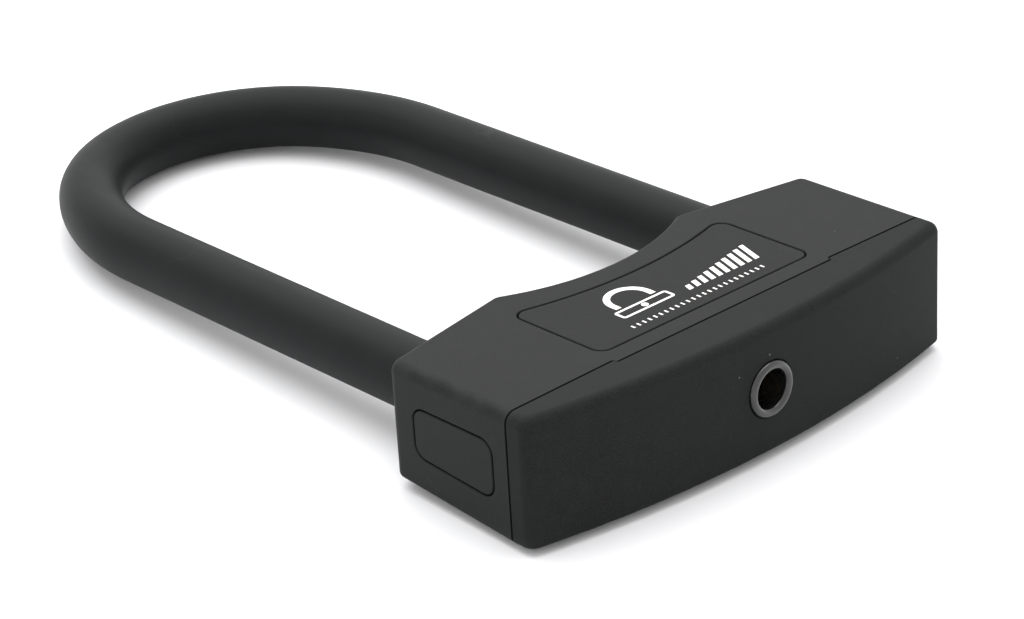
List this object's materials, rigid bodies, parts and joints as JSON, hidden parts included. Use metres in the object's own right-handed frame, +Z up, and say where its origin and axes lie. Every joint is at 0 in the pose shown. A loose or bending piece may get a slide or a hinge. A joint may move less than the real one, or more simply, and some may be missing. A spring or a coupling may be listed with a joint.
{
  "type": "bicycle u lock",
  "caption": "Compact bicycle U lock with a coated bent shackle, a waisted crossbar casing, and a key cylinder that drives a bolt into each leg.",
  "frame": {"origin": "middle of the crossbar's underside, under the crossbar's own width centre and 24 mm behind the middle of the key face", "axes": "+X along the crossbar, +Y from the key face towards the shackle's bend, +Z up from the underside to the label"},
  "size_m": [0.12, 0.2112, 0.028],
  "materials": {
    "shell_plastic": "fine spark texture, near black",
    "cover_plastic": "fine spark texture, near black",
    "label_plastic": "smoother satin, near black",
    "plug_plastic": "satin, near black",
    "ring_gloss": "gloss black",
    "sleeve_rubber": "soft matt coating, near black",
    "seal_rubber": "matt black",
    "rod_steel": "hardened bar",
    "case_steel": "plain steel",
    "fastener_steel": "plain steel",
    "hard_steel": "hardened steel",
    "cylinder_brass": "machined brass"
  },
  "bodies": {
    "lock_body": {"main_shell": "shell_plastic", "key_side_cover": "cover_plastic", "label_plate": "label_plastic", "end_plug_left": "plug_plastic", "end_plug_right": "plug_plastic", "keyhole_ring": "ring_gloss", "steel_case": "case_steel", "channel_plug_left": "case_steel", "channel_plug_right": "case_steel", "front_plate": "case_steel", "plate_screws": "fastener_steel", "shell_screws": "fastener_steel", "cylinder_barrel": "cylinder_brass", "anti_drill_disc": "hard_steel", "barrel_pins": "fastener_steel", "leg_seal_left": "seal_rubber", "leg_seal_right": "seal_rubber"},
    "shackle": {"shackle_rod": "rod_steel", "shackle_sleeve": "sleeve_rubber"},
    "plug": {"plug_core": "cylinder_brass", "lock_discs": "cylinder_brass", "disc_spacers": "hard_steel", "sidebar": "hard_steel", "scroll_cam": "hard_steel", "plug_circlip": "fastener_steel"},
    "bolt_left": {"bolt_left": "hard_steel", "bolt_pin_left": "hard_steel"},
    "bolt_right": {"bolt_right": "hard_steel", "bolt_pin_right": "hard_steel"}
  },
  "joints": [
    {"name": "shackle_lift", "type": "slide", "parent": "lock_body", "child": "shackle", "axis": [0, 1, 0], "range_m": [0, 0.034]},
    {"name": "plug_turn", "type": "hinge", "parent": "lock_body", "child": "plug", "pos_m": [0, -0.006, 0.014], "axis": [0, -1, 0], "range_deg": [0, 90]},
    {"name": "bolt_left_slide", "type": "slide", "parent": "lock_body", "child": "bolt_left", "axis": [-1, 0, 0], "range_m": [0, 0.0036]},
    {"name": "bolt_right_slide", "type": "slide", "parent": "lock_body", "child": "bolt_right", "axis": [1, 0, 0], "range_m": [0, 0.0036]}
  ],
  "couplings": [
    {"joint": "plug_turn", "follows": "bolt_right_slide", "rad_per_m": 436.33},
    {"joint": "bolt_left_slide", "follows": "bolt_right_slide", "ratio": 1}
  ]
}
